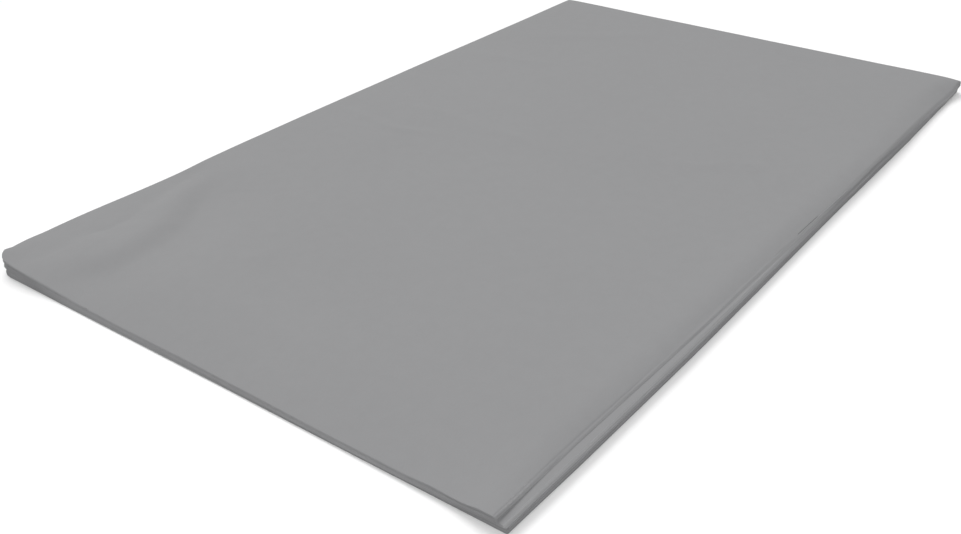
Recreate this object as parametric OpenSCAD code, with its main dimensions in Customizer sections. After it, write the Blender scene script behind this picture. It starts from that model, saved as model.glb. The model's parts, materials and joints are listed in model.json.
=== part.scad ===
// Flat ream of wrapping tissue paper.
// Loose square-cut sheets lie flat on each other in quires. The
// stack is a little out of square: the sheets were jogged by hand in three
// bundles, so the middle bundle stands proud of the upper one along the +X
// long side near the -Y end. The corner at -X, -Y has been bumped, so every
// sheet's corner there is crushed round.
// The frame has its origin at the centre of the footprint on the surface that
// the ream lies on, +Y along the sheets and +Z up through the stack.

/* [Sheet] */
// Width of one sheet, along X
sheet_w = 500; // [300:5:700]
// Length of one sheet, along Y
sheet_l = 750; // [400:5:1000]
// Height that one sheet takes up in the stack, its own thickness and the air under it
sheet_pitch = 0.0294; // [0.02:0.0002:0.08]
// Air left under each loose sheet of the top quire
sheet_air = 0.0014; // [0.0004:0.0002:0.006]

/* [Ream] */
// Quires in the bottom bundle, from the surface up
bottom_quires = 5; // [1:1:9]
// Quires under the upper bundle, counted from the surface
lower_quires = 10; // [10:1:18]
// Air between two quires
quire_air = 0.01; // [0.004:0.002:0.1]

/* [Bumped corner] */
// How far the crushed corner reaches along X
bump_x = 16; // [4:1:100]
// How far the crushed corner reaches along Y
bump_y = 20; // [4:1:150]
// Roundness of the crushed corner: 2 is an ellipse, more is squarer
bump_power = 2.2; // [2:0.1:8]

/* [Jog of the bundles] */
// Sideways shift of the bottom bundle, along X
bottom_shift_x = 0.8; // [-6:0.1:6]
// Endways shift of the bottom bundle, along Y
bottom_shift_y = -0.6; // [-6:0.1:6]
// Turn of the bottom bundle about the vertical, in degrees
bottom_turn = 0.20; // [-1:0.01:1]
// Sideways shift of the middle bundle, along X
middle_shift_x = 1.6; // [-6:0.1:6]
// Endways shift of the middle bundle, along Y
middle_shift_y = -0.3; // [-6:0.1:6]
// Turn of the middle bundle about the vertical, in degrees
middle_turn = 0.27; // [-1:0.01:1]
// Sideways shift of the upper bundle, along X
upper_shift_x = -1.8; // [-6:0.1:6]
// Endways shift of the upper bundle, along Y
upper_shift_y = -1.6; // [-6:0.1:6]
// Turn of the upper bundle about the vertical, in degrees
upper_turn = -0.42; // [-1:0.01:1]

/* [Jog of the quires and sheets] */
// How far one quire may lie off its bundle, either way
quire_jog = 0.35; // [0:0.05:2]
// How far one loose sheet may lie off its quire, either way
sheet_jog = 0.25; // [0:0.05:2]
// How far the top sheet lies off its quire towards -X
top_sheet_shift = 1.2; // [0:0.1:6]
// Turn of the top sheet on its quire, in degrees
top_sheet_turn = -0.06; // [-0.5:0.01:0.5]

/* [Hidden] */
// Every separate piece, from the surface up
// A ream is 20 quires of 24 sheets
top_quire = 20;
quire_sheets = 24;
quire_t = quire_sheets * sheet_pitch;
tissue = [0.60, 0.60, 0.61];

// Which bundle a quire belongs to: 0 bottom, 1 middle, 2 upper
function bundle(q) = q <= bottom_quires ? 0 : q <= lower_quires ? 1 : 2;
// Placement of quire q as [x, y, turn], spread by a golden-angle sequence
function quire_place(q) = [
    [bottom_shift_x, middle_shift_x, upper_shift_x][bundle(q)] + quire_jog * sin(137.5 * q),
    [bottom_shift_y, middle_shift_y, upper_shift_y][bundle(q)] + quire_jog * cos(222.5 * q),
    [bottom_turn, middle_turn, upper_turn][bundle(q)]];
// Placement of loose sheet s of the top quire, where 24 is the top sheet
function sheet_place(s) = quire_place(top_quire) + (s == quire_sheets
    ? [-top_sheet_shift, 0, top_sheet_turn]
    : [sheet_jog * sin(137.5 * s + 40), sheet_jog * cos(222.5 * s + 15), 0]);

// Point i of the crushed corner's curve, from the -X side round to the -Y side
bump_steps = 8;
function bump(i) = let (t = 90 * i / bump_steps)
    [bump_x * (1 - pow(cos(t), 2 / bump_power)) - sheet_w / 2,
     bump_y * (1 - pow(sin(t), 2 / bump_power)) - sheet_l / 2];
// Outline of one sheet, anticlockwise from the corner at +X, -Y
outline = concat([[sheet_w / 2, -sheet_l / 2], [sheet_w / 2, sheet_l / 2], [-sheet_w / 2, sheet_l / 2]],
                 [for (i = [0:bump_steps]) bump(i)]);

// The outline's points for a sheet at placement p, along one axis: 0 is X and 1 is Y
function reach(p, axis) = [for (c = outline) p[axis] + (axis == 0
    ? c[0] * cos(p[2]) - c[1] * sin(p[2])
    : c[0] * sin(p[2]) + c[1] * cos(p[2]))];
places = concat([for (q = [1:top_quire - 1]) quire_place(q)],
                [for (s = [1:quire_sheets]) sheet_place(s)]);
all_x = [for (p = places) each reach(p, 0)];
all_y = [for (p = places) each reach(p, 1)];
// Centre of the whole footprint, which goes on the origin
centre = [(min(all_x) + max(all_x)) / 2, (min(all_y) + max(all_y)) / 2];

// A flat block of sheets at placement p, from height z up
module block(p, z, t) {
    translate([p[0] - centre[0], p[1] - centre[1], z])
        rotate([0, 0, p[2]])
            linear_extrude(height = t)
                polygon(outline);
}

// One quire, lying flat and pressed together, with the air film above it
module quire(q) {
    color(tissue)
        block(quire_place(q), (q - 1) * quire_t, quire_t - quire_air);
}

// One loose sheet of the top quire
module sheet(s) {
    color(tissue)
        block(sheet_place(s), (top_quire - 1) * quire_t + (s - 1) * sheet_pitch,
              sheet_pitch - sheet_air);
}

quire(1);  // quire_01
quire(2);  // quire_02
quire(3);  // quire_03
quire(4);  // quire_04
quire(5);  // quire_05
quire(6);  // quire_06
quire(7);  // quire_07
quire(8);  // quire_08
quire(9);  // quire_09
quire(10);  // quire_10
quire(11);  // quire_11
quire(12);  // quire_12
quire(13);  // quire_13
quire(14);  // quire_14
quire(15);  // quire_15
quire(16);  // quire_16
quire(17);  // quire_17
quire(18);  // quire_18
quire(19);  // quire_19
sheet(1);  // sheet_01
sheet(2);  // sheet_02
sheet(3);  // sheet_03
sheet(4);  // sheet_04
sheet(5);  // sheet_05
sheet(6);  // sheet_06
sheet(7);  // sheet_07
sheet(8);  // sheet_08
sheet(9);  // sheet_09
sheet(10);  // sheet_10
sheet(11);  // sheet_11
sheet(12);  // sheet_12
sheet(13);  // sheet_13
sheet(14);  // sheet_14
sheet(15);  // sheet_15
sheet(16);  // sheet_16
sheet(17);  // sheet_17
sheet(18);  // sheet_18
sheet(19);  // sheet_19
sheet(20);  // sheet_20
sheet(21);  // sheet_21
sheet(22);  // sheet_22
sheet(23);  // sheet_23
sheet(24);  // top_sheet
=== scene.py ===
import json
import math
import bpy
import numpy as np
from mathutils import Matrix, Vector

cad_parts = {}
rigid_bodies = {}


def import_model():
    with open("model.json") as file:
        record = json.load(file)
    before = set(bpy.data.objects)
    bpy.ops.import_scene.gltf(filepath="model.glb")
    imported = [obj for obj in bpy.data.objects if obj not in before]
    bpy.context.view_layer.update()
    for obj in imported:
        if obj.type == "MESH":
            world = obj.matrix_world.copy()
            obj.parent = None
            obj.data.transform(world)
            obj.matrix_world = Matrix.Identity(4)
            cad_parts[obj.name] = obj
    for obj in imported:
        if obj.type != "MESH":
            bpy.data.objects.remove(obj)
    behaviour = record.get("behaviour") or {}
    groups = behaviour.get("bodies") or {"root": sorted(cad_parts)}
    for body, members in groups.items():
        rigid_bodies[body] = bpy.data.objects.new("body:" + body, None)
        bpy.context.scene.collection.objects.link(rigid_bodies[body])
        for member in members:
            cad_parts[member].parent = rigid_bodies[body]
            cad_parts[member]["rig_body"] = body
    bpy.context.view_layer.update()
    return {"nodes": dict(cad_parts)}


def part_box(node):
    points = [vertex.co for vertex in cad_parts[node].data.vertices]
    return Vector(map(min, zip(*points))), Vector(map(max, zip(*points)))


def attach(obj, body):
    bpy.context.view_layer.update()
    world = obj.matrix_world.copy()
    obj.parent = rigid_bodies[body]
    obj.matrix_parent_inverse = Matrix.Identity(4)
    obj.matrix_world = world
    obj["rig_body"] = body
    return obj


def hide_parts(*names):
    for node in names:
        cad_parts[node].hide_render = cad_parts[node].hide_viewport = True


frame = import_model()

MM = 0.001

# ---------------------------------------------------------------- small helpers


def smooth(x, lo, hi):
    """0 below lo, 1 above hi, an S between."""
    t = np.clip((x - lo) / (hi - lo), 0.0, 1.0)
    return t * t * (3 - 2 * t)


def bell(x, mid, width):
    return np.exp(-((x - mid) / width) ** 2)


class Waves:
    """Smooth 2-D noise from a few seeded plane waves, about -1 to 1."""

    def __init__(self, seed, short, long, n=26):
        r = np.random.default_rng(seed)
        ang = r.uniform(0, 2 * math.pi, n)
        lam = np.exp(r.uniform(math.log(short), math.log(long), n))
        self.k = np.stack([np.cos(ang), np.sin(ang)], 1) * (2 * math.pi / lam)[:, None]
        self.p = r.uniform(0, 2 * math.pi, n)
        self.a = (lam / long) ** 0.5
        self.a /= math.sqrt((self.a ** 2).sum() / 2) * 2.2

    def __call__(self, x, y):
        out = np.zeros(np.broadcast(x, y).shape)
        for (kx, ky), p, a in zip(self.k, self.p, self.a):
            out += a * np.sin(kx * x + ky * y + p)
        return out


class Wave1:
    """Smooth 1-D noise along an edge, about -1 to 1."""

    def __init__(self, seed, short, long, n=12):
        r = np.random.default_rng(seed)
        lam = np.exp(r.uniform(math.log(short), math.log(long), n))
        self.k, self.p = 2 * math.pi / lam, r.uniform(0, 2 * math.pi, n)
        self.a = (lam / long) ** 0.6
        self.a /= math.sqrt((self.a ** 2).sum() / 2) * 2.2

    def __call__(self, x):
        out = np.zeros(np.shape(x))
        for k, p, a in zip(self.k, self.p, self.a):
            out += a * np.sin(k * x + p)
        return out


def polyline_field(x, y, pts):
    """Signed distance across a crease line and how far along it each point lies, 0 to 1.
    Positive is on the line's left as it runs."""
    pts = np.array(pts, float)
    seg = np.diff(pts, axis=0)
    ln = np.hypot(seg[:, 0], seg[:, 1])
    cum = np.concatenate([[0], np.cumsum(ln)])
    best = np.full(x.shape, 1e9)
    side = np.zeros(x.shape)
    along = np.zeros(x.shape)
    for i in range(len(seg)):
        ux, uy = seg[i] / ln[i]
        dx, dy = x - pts[i, 0], y - pts[i, 1]
        t = dx * ux + dy * uy
        lo = -1e9 if i == 0 else 0.0
        hi = 1e9 if i == len(seg) - 1 else ln[i]
        tc = np.clip(t, lo, hi)
        ex, ey = dx - tc * ux, dy - tc * uy
        d = np.hypot(ex, ey)
        s = np.where(ux * dy - uy * dx >= 0, 1.0, -1.0)
        near = d < best
        best = np.where(near, d, best)
        side = np.where(near, s, side)
        along = np.where(near, (cum[i] + tc) / cum[-1], along)
    return best * side, along


# ---------------------------------------------------------------- the stack
# All the shape code works in millimetres in the row frame.

SHEET_W, SHEET_L = 500.0, 750.0
BUMP_X, BUMP_Y, BUMP_POWER = 16.0, 20.0, 2.2      # the crushed corner, as in the CAD
STACK_H = max(c.z for c in (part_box(n)[1] for n in frame["nodes"])) / MM


class Place:
    """Where one CAD node lies: its origin corner and its two directions."""

    def __init__(self, node):
        o = frame["nodes"][node]
        co = np.array([v.co for v in o.data.vertices], float).reshape(-1, 3) / MM
        self.z0, self.z1 = co[:, 2].min(), co[:, 2].max()
        far = lambda sx, sy: co[np.argmax(co[:, 0] * sx + co[:, 1] * sy)][:2]
        n, r, b = far(1, -1), far(1, 1), far(-1, 1)
        self.u = (r - b) / np.linalg.norm(r - b)
        self.v = (r - n) / np.linalg.norm(r - n)
        self.o = n + b - r

    def xy(self, a, b):
        """Row frame from sheet coordinates, which run from the middle of the sheet."""
        a, b = a + SHEET_W / 2, b + SHEET_L / 2
        return (self.o[0] + a * self.u[0] + b * self.v[0],
                self.o[1] + a * self.u[1] + b * self.v[1])

    def ab(self, x, y):
        """Sheet coordinates from the row frame."""
        x, y = x - self.o[0], y - self.o[1]
        return (x * self.u[0] + y * self.u[1] - SHEET_W / 2,
                x * self.v[0] + y * self.v[1] - SHEET_L / 2)


REF = Place("sheet_12")        # every layer's shape is read in this sheet's coordinates, so the layers nest


# Creases and buckles in the upper sheets, in sheet coordinates centred on the sheet.
TROUGH = [(-172, -372), (-162, -352), (-150, -338), (-150, -318), (-152, -300), (-154, -284), (-160, -262),
         (-178, -236), (-196, -212), (-210, -184)]
CREASE = [(-215, -362), (-216, -342), (-221, -326), (-216, -314), (-209, -300), (-211, -280), (-220, -260),
          (-227, -237), (-233, -211), (-242, -181)]
FAINT = [(-79, -282), (-75, -260), (-70, -238)]
FAR_A = [(-226, -26), (-192, -32), (-164, -36), (-138, -30), (-111, -20)]
FAR_B = [(-183, 14), (-130, 17), (-82, 11), (-40, 14), (-3, 10)]
FAR_C = [(-224, 163), (-176, 170), (-131, 182)]
FAR_D = [(-205, 243), (-140, 286), (-85, 321)]
RIGHT_A = [(151, 81), (168, 82), (184, 78), (196, 66), (204, 49)]
RIGHT_B = [(33, 72), (60, 56), (91, 42), (126, 52), (150, 70)]
FOLD = [(49, -377), (46, -364), (42, -350)]

broad = Waves(11, 130, 420, 18)
middle = Waves(12, 45, 130, 30)
small = Waves(13, 16, 45, 44)
fine = Waves(14, 6, 15, 60)


def slopes(a, b):
    """The broad shape that the whole upper stack takes: mm."""
    z = 0.16 * broad(a, b)
    # the slope down to the -X side, between the bumped corner and a third of the way back
    z = z - 1.8 * smooth(-a, 206, 258) * bell(b, -250, 110)
    return z - 0.9 * bell(a, -250, 40) * bell(b, -372, 60)


def relief(a, b):
    """Height of the loose top sheets above flat ones, from sheet coordinates: mm."""
    z = slopes(a, b)
    # the trough that runs back from the bumped corner, and the low swell outside it
    d, t = polyline_field(a, b, TROUGH)
    fade = smooth(t, -0.06, 0.16) * (1 - smooth(t, 0.72, 1.08))
    z -= 3.8 * fade * np.where(d > 0, np.exp(-(d / 16.0) ** 2), np.exp(-(d / 36.0) ** 2))
    z += 1.0 * fade * bell(d, 25, 13)
    # a sharper crease closer to the edge
    d, t = polyline_field(a, b, CREASE)
    fade = smooth(t, -0.05, 0.12) * (1 - smooth(t, 0.85, 1.05))
    z -= 1.3 * fade * np.where(d > 0, np.exp(-(d / 20.0) ** 2), np.exp(-(d / 12.0) ** 2))
    z -= 0.55 * fade * np.exp(-np.abs(d - 1) / 3.2)
    d, t = polyline_field(a, b, FAINT)
    z += 0.35 * smooth(t, -0.1, 0.2) * (1 - smooth(t, 0.8, 1.1)) * np.exp(-(d / 9.0) ** 2)
    for line, h, w in ((FAR_A, 0.60, 6.5), (FAR_B, 0.45, 9.0), (FAR_C, 0.40, 10.0), (FAR_D, 0.35, 11.0),
                       (RIGHT_A, 0.65, 7.0), (RIGHT_B, 0.42, 9.0), (FOLD, 0.15, 2.5)):
        d, t = polyline_field(a, b, line)
        z += h * smooth(t, -0.1, 0.2) * (1 - smooth(t, 0.8, 1.1)) * np.exp(-(d / w) ** 2)
    # faint cockle all over, stronger where the tissue has been handled
    hand = 0.35 + 0.65 * bell(a, 150, 90) * bell(b, 40, 130) + 0.35 * bell(a, -190, 70) * bell(b, -260, 120)
    return z + 0.10 * hand * (0.6 + middle(a, b)) + 0.045 * hand * (0.6 + small(a, b))


def deep_relief(a, b):
    """The same for the sheets that the loose ones lie on, always a little lower."""
    z = slopes(a, b) - 0.10
    d, t = polyline_field(a, b, CREASE)
    fade = smooth(t, -0.05, 0.12) * (1 - smooth(t, 0.85, 1.05))
    z -= 1.65 * fade * np.where(d > 0, np.exp(-(d / 20.5) ** 2), np.exp(-(d / 12.5) ** 2))
    d, t = polyline_field(a, b, TROUGH)
    fade = smooth(t, -0.06, 0.16) * (1 - smooth(t, 0.72, 1.08))
    z -= 3.85 * fade * np.where(d > 0, np.exp(-(d / 16.0) ** 2), np.exp(-(d / 36.5) ** 2))
    return z + 0.8 * fade * bell(d, 25, 12)


def pocks(a, b):
    """Two small pinches in the top sheet."""
    z = 0
    for ca, cb, h, w in ((31, -356, 0.55, 3.2), (155, -255, 0.25, 2.2), (118, -300, 0.12, 2.6)):
        r2 = (a - ca) ** 2 + (b - cb) ** 2
        z = z + h * np.exp(-r2 / w ** 2) - 0.5 * h * np.exp(-((a - ca - 3) ** 2 + (b - cb + 3) ** 2) / w ** 2)
    return z


side_wave = {k: Wave1(40 + i, 60, 500) for i, k in enumerate(("right", "left", "near", "far"))}
lip_wave = {k: Wave1(60 + i, 25, 160) for i, k in enumerate(("right", "left", "near", "far"))}


def shoulder(up, start):
    """0 up to the height start, then a quarter circle to 1 at the top."""
    s = np.clip((up - start) / (1 - start), 0, 1)
    return 1 - np.sqrt(np.clip(1 - s ** 2, 0, 1))


def table(p, *pairs):
    return np.interp(p, [c[0] for c in pairs], [c[1] for c in pairs])


TIER = 0.64                     # the height of the lower tier of the right side
UPPER_BACK = (7.9, -1.1)        # how far behind the middle bundle the upper one lies there, at the -Y and the +Y end


def stand_off(side, p, u):
    """How far the stack's side stands out from its own straight cut at the height u, 0 to 1: mm. p runs 0 to 1 along
    the side. The corners are still square-cut; between them handling has rounded the sides."""
    up = np.clip(u, 0, 1)
    out = 0.15 * side_wave[side](p * 700 + up * 60)
    if side == "near":
        mid = smooth(p, 0.06, 0.20) * (1 - smooth(p, 0.90, 0.99))
        s = np.clip((up - 0.15) / 0.85, 0, 1)
        out = out - 2.8 * mid * s ** 1.3
        out = out + (table(p, (0, 1.6), (0.15, 0.9), (0.3, 0.1), (0.5, -0.8), (1, -1.2))
                     - table(p, (0, 0.7), (0.2, 0.4), (0.3, 0), (1, 0)) * s) * (up > 0.5)
        out = out - 0.5 * shoulder(up, 0.8) * (1 - mid)
    elif side == "right":
        s = np.clip(up / TIER, 0, 1)
        lip = table(p, (0, 0.8), (0.5, 0.75), (0.7, 0.4), (0.95, 0.3), (1, 0.5))
        roll = table(p, (0, 2.2), (0.4, 2.2), (0.7, 1.6), (0.85, 1.2), (1, 0.3))
        low = table(p, (0, -1.2), (0.03, -0.8), (0.1, 0.4), (0.25, 1.5), (0.45, 0.8), (0.6, 0.1), (0.8, 0.4),
                    (0.9, -0.6), (1, -1.2))
        low = low - roll * np.clip((s - lip) / (1 - lip), 0, 1) ** 1.5
        low = low + (UPPER_BACK[0] + (UPPER_BACK[1] - UPPER_BACK[0]) * p) * (up >= 0.5)
        s = np.clip((up - TIER) / (1 - TIER), 0, 1)
        high_out = table(p, (0, 1.0), (0.5, 0.8), (0.7, 0.2), (0.8, 0), (1, 0))
        high = table(p, (0, -0.3), (0.1, -1.2), (0.2, -0.1), (0.3, 0.7), (0.4, 0.6), (0.5, 1.3), (0.6, 1.2),
                     (0.7, 1.0), (0.8, 0.4), (0.9, -1.0), (1, 0.4))
        back = table(p, (0, 0.5), (0.1, 0.8), (0.3, 1.0), (0.5, 1.6), (0.6, 0.8), (0.75, 0.8), (0.85, 1.8),
                     (0.95, 1.8), (1, 0.4))
        out = out + np.where(up < TIER, low, high + high_out - back * s ** 1.4)
    elif side == "left":
        press = 2.4 * (1 - smooth(p, 0.02, 0.13)) + 1.6 * bell(p, 0.17, 0.09)
        out = out - press * up - 0.3 * shoulder(up, 0.6)
    else:
        out = out + table(p, (0, -1.3), (0.45, -0.2), (0.75, 1.6), (1, 2.2)) * up
    return out


# What is left of the stack's height at the very edge, along the near and the right side: the sheets have been pressed
# down there, and roll over to it.
NEAR_EDGE = ((0, 0.91), (0.05, 0.865), (0.083, 0.74), (0.115, 0.60), (0.148, 0.45), (0.2, 0.27), (0.3, 0.18),
             (0.75, 0.18), (0.86, 0.25), (0.9, 0.36), (0.93, 0.42), (0.955, 0.57), (0.975, 0.78), (1, 0.90))
RIGHT_EDGE = ((0, 1.0), (0.7, 0.97), (0.8, 0.68), (0.9, 0.47), (0.96, 0.37), (0.985, 0.62), (1, 0.92))
RIGHT_UPPER = ((0, 0.80), (0.03, 0.50), (0.1, 0.22), (0.5, 0.22), (0.7, 0.50), (0.8, 1.0), (1, 1.0))


def pressed(a, b, h):
    """The height h of a layer once the stack's edges have been pressed down. a and b are measured from the middle of
    the sheet. Only the upper tier of the stack gives along the right side near the -Y end."""
    roll = lambda d, reach, power: np.clip(1 - d / reach, 0, 1.2) ** power
    across, back = (a + 250) / 500, (b + 375) / 750
    near = (1 - table(across, *NEAR_EDGE)) * roll(375 + b, 62, 1.7)
    right = (1 - table(back, *RIGHT_EDGE)) * roll(250 - a, table(back, (0, 16), (0.7, 16), (0.9, 28), (1, 20)), 1.8)
    left = 0.02 * smooth(-a, 250 - 16, 250 + 3)
    far = 0.01 * smooth(b, 375 - 12, 375 + 3)
    upper = (1 - table(back, *RIGHT_UPPER)) * roll(248 - a, 16, 2.1)
    h = h - np.maximum(h - TIER * STACK_H, 0) * np.minimum(upper, 0.88)
    return h * (1 - near) * (1 - right) * (1 - left) * (1 - far)


def crush(a, b, u):
    """Moves the points near the bumped corner in, so that its outline is the crushed one, rounder towards the top."""
    bx = BUMP_X + table(u, (0, -2), (0.48, 0), (0.52, 7), (0.94, 8), (0.97, 5), (1, 5))
    by = BUMP_Y + table(u, (0, -3), (0.48, 4), (0.52, 18), (0.94, 24), (0.97, 18), (1, 18))
    power = BUMP_POWER
    pa = np.clip(1 - (a + SHEET_W / 2) / bx, 0, None)
    pb = np.clip(1 - (b + SHEET_L / 2) / by, 0, None)
    inside = (pa > 0) & (pb > 0)
    far = np.maximum(pa, pb)
    norm = (pa ** power + pb ** power) ** (1 / power)
    k = np.where(inside, far / np.maximum(norm, 1e-9), 1.0)
    return (np.where(inside, -SHEET_W / 2 + bx * (1 - pa * k), a),
            np.where(inside, -SHEET_L / 2 + by * (1 - pb * k), b))


def corner_wrinkle(a, b):
    """Small buckles of the crushed corner's sheets, strongest at the very corner."""
    near = np.exp(-(((a + 246) / 22) ** 2 + ((b + 366) / 26) ** 2))
    ang = np.arctan2(b + 300, a + 190)
    r = np.hypot(a + 190, b + 300)
    return near * (0.85 * np.sin(7.5 * ang + 0.9) + 0.35 * np.sin(17 * ang + r * 0.09))


def level(a, b, h, loose=False):
    """Height of the layer whose flat height is h, at sheet coordinates a, b. Layers deep in the stack stay flat, and
    the relief grows towards the top; the order of the layers never changes."""
    u = h / STACK_H
    g = smooth(u, 0.0, 1.0) * u
    shape = relief(a, b) if loose else deep_relief(a, b)
    give = pressed(a, b, STACK_H) / STACK_H
    return pressed(a, b, h) + g * shape * give + 0.8 * g * u * corner_wrinkle(a, b)


def axis_points(length, step, edge):
    """Positions along a side, 0 to length, close together at both ends."""
    n = max(2, int(round((length - 2 * edge[-1]) / step)) + 1)
    inner = np.linspace(edge[-1], length - edge[-1], n)
    return np.concatenate([edge[:-1], inner, length - np.array(edge[:-1])[::-1]])


EDGE = [0.0, 1.2, 3.0, 5.5, 8.5, 12.5, 17.0, 22.0, 28.0, 35.0]
EDGE_ROUGH = [0.0, 2.0, 5.0, 9.0, 15.0, 23.0, 33.0]


def layer_points(place, A, B, off, h, extra=None, loose=False):
    """Row-frame points of a layer, from distances A, B along its two sides. off(side, p) is how far its edge
    stands out."""
    fall = lambda d: np.clip(1 - d / 40.0, 0, 1) ** 2
    a = A + fall(SHEET_W - A) * off("right", B / SHEET_L) - fall(A) * off("left", B / SHEET_L)
    b = B + fall(SHEET_L - B) * off("far", A / SHEET_W) - fall(B) * off("near", A / SHEET_W)
    a, b = crush(a - SHEET_W / 2, b - SHEET_L / 2, h / STACK_H)
    x, y = place.xy(a, b)
    ra, rb = REF.ab(x, y)
    z = level(ra, rb, h, loose)
    if extra is not None:
        z = z + extra(ra, rb)
    return np.stack([x, y, z], -1)


def make_mesh(name, verts, quads, mats):
    me = bpy.data.meshes.new(name)
    verts = np.ascontiguousarray(verts * MM, np.float32)
    quads = np.ascontiguousarray(quads, np.int32)
    me.vertices.add(len(verts))
    me.vertices.foreach_set("co", verts.ravel())
    me.loops.add(quads.size)
    me.loops.foreach_set("vertex_index", quads.ravel())
    me.polygons.add(len(quads))
    me.polygons.foreach_set("loop_start", np.arange(0, quads.size, 4, dtype=np.int32))
    me.polygons.foreach_set("loop_total", np.full(len(quads), 4, np.int32))
    me.polygons.foreach_set("material_index", np.ascontiguousarray(mats, np.int32))
    me.polygons.foreach_set("use_smooth", np.ascontiguousarray(mats == 0))
    me.update(calc_edges=True)
    me.validate()
    ob = bpy.data.objects.new(name, me)
    bpy.context.scene.collection.objects.link(ob)
    return ob


def stack_mesh(name, place, layers, step, edge, seed, extra=None, loose=False, jog=0.07):
    """A closed body of paper: a bottom grid, a top grid, and between them one step for each layer's cut edge.
    layers is a list of (low, high) flat heights."""
    rng = np.random.default_rng(seed)
    A, B = np.meshgrid(axis_points(SHEET_W, step, edge), axis_points(SHEET_L, step, edge), indexing="ij")
    idx = np.arange(A.size).reshape(A.shape)
    border = np.concatenate([idx[:-1, 0], idx[-1, :-1], idx[1:, -1][::-1], idx[0, 1:][::-1]])
    Ab, Bb = A.ravel()[border], B.ravel()[border]
    cells = np.stack([idx[:-1, :-1], idx[1:, :-1], idx[1:, 1:], idx[:-1, 1:]], -1).reshape(-1, 4)
    verts, quads, mats, count = [], [], [], 0

    def jitter():
        jit = dict(zip(("right", "left", "near", "far"), rng.normal(0, jog, 4)))
        ph, amp = rng.uniform(0, 1000), rng.uniform(0.3, 1.0) * jog
        return lambda side, p: jit[side] + amp * lip_wave[side](p * 600 + ph)

    for i, (lo, hi) in enumerate(layers):
        own = jitter()
        for h, whole in ((lo, i == 0), (hi, i == len(layers) - 1)):
            off = lambda side, p: stand_off(side, p, h / STACK_H) + own(side, p)
            a, b = (A.ravel(), B.ravel()) if whole else (Ab, Bb)
            pts = layer_points(place, a, b, off, h, extra, loose)
            now = (border if whole else np.arange(len(border))) + count
            verts.append(pts)
            if whole:
                quads.append((cells if h == hi else cells[:, ::-1]) + count)
                mats.append(np.zeros(len(cells), int))
            count += len(pts)
            if not (i == 0 and h == lo):
                quads.append(np.stack([last, np.roll(last, -1), np.roll(now, -1), now], 1))
                # where a side steps back more than it rises, what shows is the sheet's face, not its cut edge; the
                # steeper parts get the edge material, which is painted lighter than the face as painted light on the
                # sides
                move = np.abs((pts[border] if whole else pts) - ring)
                flat = np.hypot(move[:, 0], move[:, 1]) > 2.6 * move[:, 2] + 0.02
                mats.append(np.where(flat | np.roll(flat, -1), 2, 1))
            last, ring = now, pts[border] if whole else pts
    return make_mesh(name, np.concatenate(verts), np.concatenate(quads), np.concatenate(mats))


# ---------------------------------------------------------------- materials


def nodes_of(name):
    m = bpy.data.materials.new(name)
    m.use_nodes = True
    nt = m.node_tree
    return m, nt, nt.nodes["Principled BSDF"]


def mapped(nt, scale):
    tc = nt.nodes.new("ShaderNodeTexCoord")
    mp = nt.nodes.new("ShaderNodeMapping")
    mp.inputs["Scale"].default_value = scale
    nt.links.new(tc.outputs["Object"], mp.inputs["Vector"])
    return mp.outputs["Vector"]


def noise(nt, scale, vec=(1, 1, 1), detail=3.0, rough=0.55, distort=0.0):
    n = nt.nodes.new("ShaderNodeTexNoise")
    n.inputs["Scale"].default_value = scale
    n.inputs["Detail"].default_value = detail
    n.inputs["Roughness"].default_value = rough
    n.inputs["Distortion"].default_value = distort
    nt.links.new(mapped(nt, vec), n.inputs["Vector"])
    return n.outputs["Fac"]


def ramp(nt, fac, lo, hi, a, b):
    r = nt.nodes.new("ShaderNodeMapRange")
    r.inputs["From Min"].default_value = lo
    r.inputs["From Max"].default_value = hi
    r.inputs["To Min"].default_value = a
    r.inputs["To Max"].default_value = b
    nt.links.new(fac, r.inputs["Value"])
    return r.outputs["Result"]


def math_node(nt, op, a, b):
    n = nt.nodes.new("ShaderNodeMath")
    n.operation = op
    for i, v in enumerate((a, b)):
        if isinstance(v, (int, float)):
            n.inputs[i].default_value = v
        else:
            nt.links.new(v, n.inputs[i])
    return n.outputs[0]


def tinted(nt, rgb, factor):
    """rgb times a factor that varies over the surface."""
    n = nt.nodes.new("ShaderNodeVectorMath")
    n.operation = "SCALE"
    n.inputs[0].default_value = rgb
    nt.links.new(factor, n.inputs["Scale"])
    return n.outputs[0]


def bump(nt, height, strength, distance, after=None):
    b = nt.nodes.new("ShaderNodeBump")
    b.inputs["Strength"].default_value = strength
    b.inputs["Distance"].default_value = distance
    nt.links.new(height, b.inputs["Height"])
    if after is not None:
        nt.links.new(after, b.inputs["Normal"])
    return b.outputs["Normal"]


GREY = (0.2200, 0.2209, 0.2250)


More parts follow.
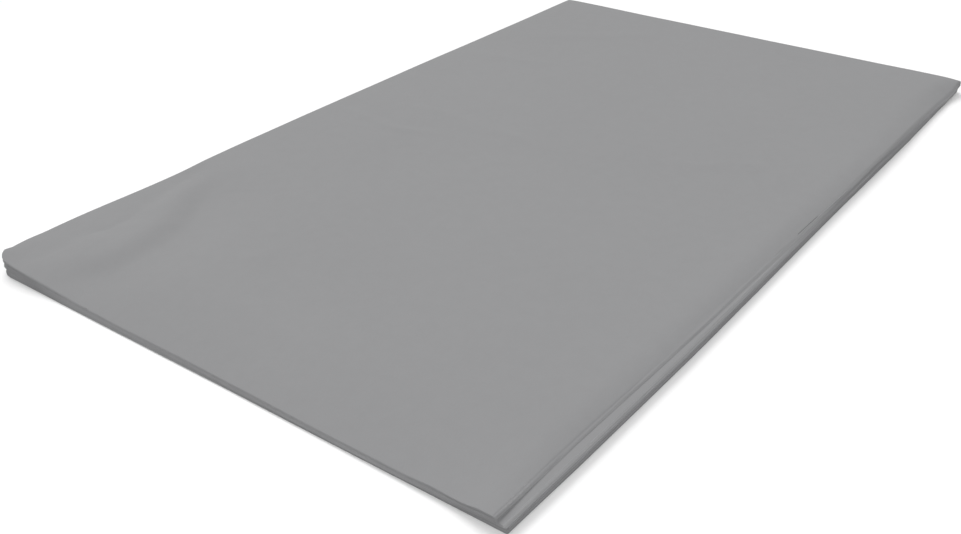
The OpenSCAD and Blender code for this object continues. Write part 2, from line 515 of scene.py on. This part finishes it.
def tissue_face(name="tissue_face", grey=GREY):
    m, nt, p = nodes_of(name)
    cloud = noise(nt, 95.0, detail=4.0)                         # formation: the cloudy look of thin paper
    fibre = noise(nt, 240.0, (2.6, 0.55, 2.6), detail=5.0, rough=0.7, distort=0.6)
    speck = noise(nt, 1500.0, detail=2.0)
    patch = noise(nt, 5.5, detail=2.0)
    f = math_node(nt, "ADD", ramp(nt, cloud, 0.3, 0.7, -0.011, 0.011), ramp(nt, fibre, 0.3, 0.7, -0.020, 0.020))
    f = math_node(nt, "ADD", f, ramp(nt, speck, 0.25, 0.75, -0.022, 0.022))
    f = math_node(nt, "ADD", f, ramp(nt, patch, 0.3, 0.7, 0.992, 1.010))
    nt.links.new(tinted(nt, grey, f), p.inputs["Base Color"])
    nt.links.new(ramp(nt, fibre, 0.3, 0.7, 0.74, 0.90), p.inputs["Roughness"])
    p.inputs["Specular IOR Level"].default_value = 0.28
    p.inputs["Sheen Weight"].default_value = 0.12
    p.inputs["Sheen Roughness"].default_value = 0.55
    cockle = noise(nt, 46.0, (1.0, 0.6, 1.0), detail=3.0, rough=0.5, distort=0.4)
    n = bump(nt, cockle, 0.10, 0.0012)
    n = bump(nt, fibre, 0.22, 0.00022, n)
    n = bump(nt, speck, 0.15, 0.00006, n)
    nt.links.new(n, p.inputs["Normal"])
    return m


def tissue_edge_painted_light_and_shade(name="tissue_edge_painted_light_and_shade", grey=GREY):
    """The cut edges: fine lines that follow the sheets, partly tone and partly painted shade in the grooves between
    them, with a few darker bands of painted shade where the sheets gap.
    """
    m, nt, p = nodes_of(name)
    lines = noise(nt, 1.0, (9.0, 9.0, 9000.0), detail=2.0, rough=0.6)
    gap_shade = noise(nt, 1.0, (5.0, 5.0, 2600.0), detail=1.0)
    grain = noise(nt, 900.0, detail=2.0)
    # painted shade: the dark lines stand in for the grooves between sheets, and the gap bands for the spaces between
    # them
    f = math_node(nt, "ADD", ramp(nt, lines, 0.3, 0.7, -0.07, 0.06), ramp(nt, gap_shade, 0.28, 0.45, 0.90, 1.0))
    f = math_node(nt, "ADD", f, ramp(nt, grain, 0.3, 0.7, -0.03, 0.03))
    nt.links.new(tinted(nt, grey, f), p.inputs["Base Color"])
    nt.links.new(ramp(nt, grain, 0.3, 0.7, 0.86, 0.97), p.inputs["Roughness"])
    p.inputs["Specular IOR Level"].default_value = 0.15
    n = bump(nt, lines, 0.35, 0.00010)
    nt.links.new(n, p.inputs["Normal"])
    return m


# painted light: the edge material is 1.3 times lighter than the face, so the stack's sides look more brightly lit
# than the lamps leave them
face, edge_mat_painted_light_shade = tissue_face(), tissue_edge_painted_light_and_shade(grey=tuple(1.30 * c for c in GREY))

# ---------------------------------------------------------------- the pieces

made = {}


def finish_piece(ob, node):
    ob.data.materials.append(face)
    ob.data.materials.append(edge_mat_painted_light_shade)
    ob.data.materials.append(face)
    body = frame["nodes"][node]["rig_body"]
    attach(ob, body)
    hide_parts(node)
    made[node] = ob
    return ob


def split(z0, z1, n, rng):
    """n layers that fill z0 to z1, of uneven thickness."""
    w = rng.uniform(0.5, 1.5, n)
    c = np.concatenate([[0], np.cumsum(w) / w.sum()])
    c = z0 + (z1 - z0) * c
    return list(zip(c[:-1], c[1:]))


for q in range(1, 20):
    node = f"quire_{q:02d}"
    pl = Place(node)
    rng = np.random.default_rng(500 + q)
    rough = q < 10
    ob = stack_mesh(f"{node}_paper", pl, split(pl.z0, pl.z1, 8, rng), 14.0 if rough else 7.0,
                    EDGE_ROUGH if rough else EDGE, 100 + q)
    finish_piece(ob, node)


# how far the loose top sheets stand off the ones below, more towards their edges
air_wave = [Waves(70 + i, 60, 260, 16) for i in range(4)]


def air(k):
    """Extra height of loose sheet k, 1 to 4 from below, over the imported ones."""

    def f(a, b):
        z = 0.0
        rim = np.maximum(smooth(np.abs(a), 205, 255), smooth(np.abs(b), 330, 380))
        for i in range(k):
            z = z + 0.005 + (0.03 + 0.03 * rim) * np.clip(0.4 + air_wave[i](a, b), 0, 2)
        tip = np.exp(-(((a + 243) / 13) ** 2 + ((b + 366) / 14) ** 2))
        z = z + (0.0, 0.15, 0.35, 0.8, 2.2)[k] * tip
        if k == 4:
            z = z + 0.02 + pocks(a, b)
        return z
    return f


for s in range(1, 25):
    node = f"sheet_{s:02d}" if s < 24 else "top_sheet"
    pl = Place(node)
    t = 0.026
    loose = s >= 21
    mid = 0.5 * (pl.z0 + pl.z1)
    k = s - 20
    step = 9.0 if not loose else 3.2 if s < 24 else 2.7
    ob = stack_mesh(f"{node}_tissue", pl, [(mid - t / 2, mid + t / 2)], step, EDGE, 200 + s,
                    extra=air(k) if loose else None, loose=loose, jog=0.05)
    finish_piece(ob, node)

# ---------------------------------------------------------------- floor, light and camera

floor_me = bpy.data.meshes.new("floor")
r = 6.0
floor_me.from_pydata([(-r, -r, -0.0004), (r, -r, -0.0004), (r, r, -0.0004), (-r, r, -0.0004)], [], [(0, 1, 2, 3)])
floor = bpy.data.objects.new("floor", floor_me)
bpy.context.scene.collection.objects.link(floor)
fm, nt, p = nodes_of("floor_white")
nt.links.new(tinted(nt, (0.90, 0.90, 0.90), ramp(nt, noise(nt, 3.0), 0.3, 0.7, 0.995, 1.005)), p.inputs["Base Color"])
p.inputs["Roughness"].default_value = 0.9
p.inputs["Specular IOR Level"].default_value = 0.1
floor_me.materials.append(fm)


def area(name, at, to, size, power, colour=(1, 1, 1)):
    li = bpy.data.lights.new(name, "AREA")
    li.shape, li.size, li.size_y = "RECTANGLE", size[0], size[1]
    li.energy, li.color = power, colour
    ob = bpy.data.objects.new(name, li)
    bpy.context.scene.collection.objects.link(ob)
    ob.location = at
    ob.rotation_euler = (Vector(to) - Vector(at)).to_track_quat("-Z", "Y").to_euler()
    return ob


sky = bpy.data.lights.new("key_light", "SUN")
sky.energy, sky.angle = 1.6, math.radians(40)
key = bpy.data.objects.new("key_light", sky)
bpy.context.scene.collection.objects.link(key)
key.location = (-1.15, 0.72, 1.4)
key.rotation_euler = (-key.location).to_track_quat("-Z", "Y").to_euler()
area("front_fill", (1.9, -2.1, 2.1), (0, 0, 0), (2.4, 1.6), 56)
area("top_panel", (0.1, 0.0, 2.8), (0, 0, 0), (2.6, 2.6), 5)

world = bpy.data.worlds.new("studio")
bpy.context.scene.world = world
world.use_nodes = True
world.node_tree.nodes["Background"].inputs["Color"].default_value = (1, 1, 1, 1)
world.node_tree.nodes["Background"].inputs["Strength"].default_value = 0.56

scene = bpy.context.scene
scene.view_settings.view_transform = "Standard"
scene.view_settings.look = "None"

FOCAL_PX, PITCH, YAW, ROLL = 1063.65, math.radians(31.5422), math.radians(-34.2713), math.radians(-0.5198)
CENTRE_PX, CENTRE_PY = 611.935, 267.0
cam_at = Vector((0.536521, -0.686793, 0.427850))
fwd = Vector((math.sin(YAW) * math.cos(PITCH), math.cos(YAW) * math.cos(PITCH), -math.sin(PITCH)))
right = Vector((math.cos(YAW), -math.sin(YAW), 0))
up = right.cross(fwd)
right, up = right * math.cos(ROLL) + up * math.sin(ROLL), up * math.cos(ROLL) - right * math.sin(ROLL)
cam = bpy.data.objects.new("camera", bpy.data.cameras.new("camera"))
scene.collection.objects.link(cam)
cam.matrix_world = Matrix.Translation(cam_at) @ Matrix((right, up, -fwd)).transposed().to_4x4()
cam.data.sensor_fit, cam.data.sensor_width = "HORIZONTAL", 36.0
cam.data.lens = FOCAL_PX / 961 * 36.0
cam.data.shift_x = -(CENTRE_PX - 480.5) / 961
cam.data.shift_y = (CENTRE_PY - 267.0) / 961
cam.data.clip_start, cam.data.clip_end = 0.01, 50
scene.camera = cam
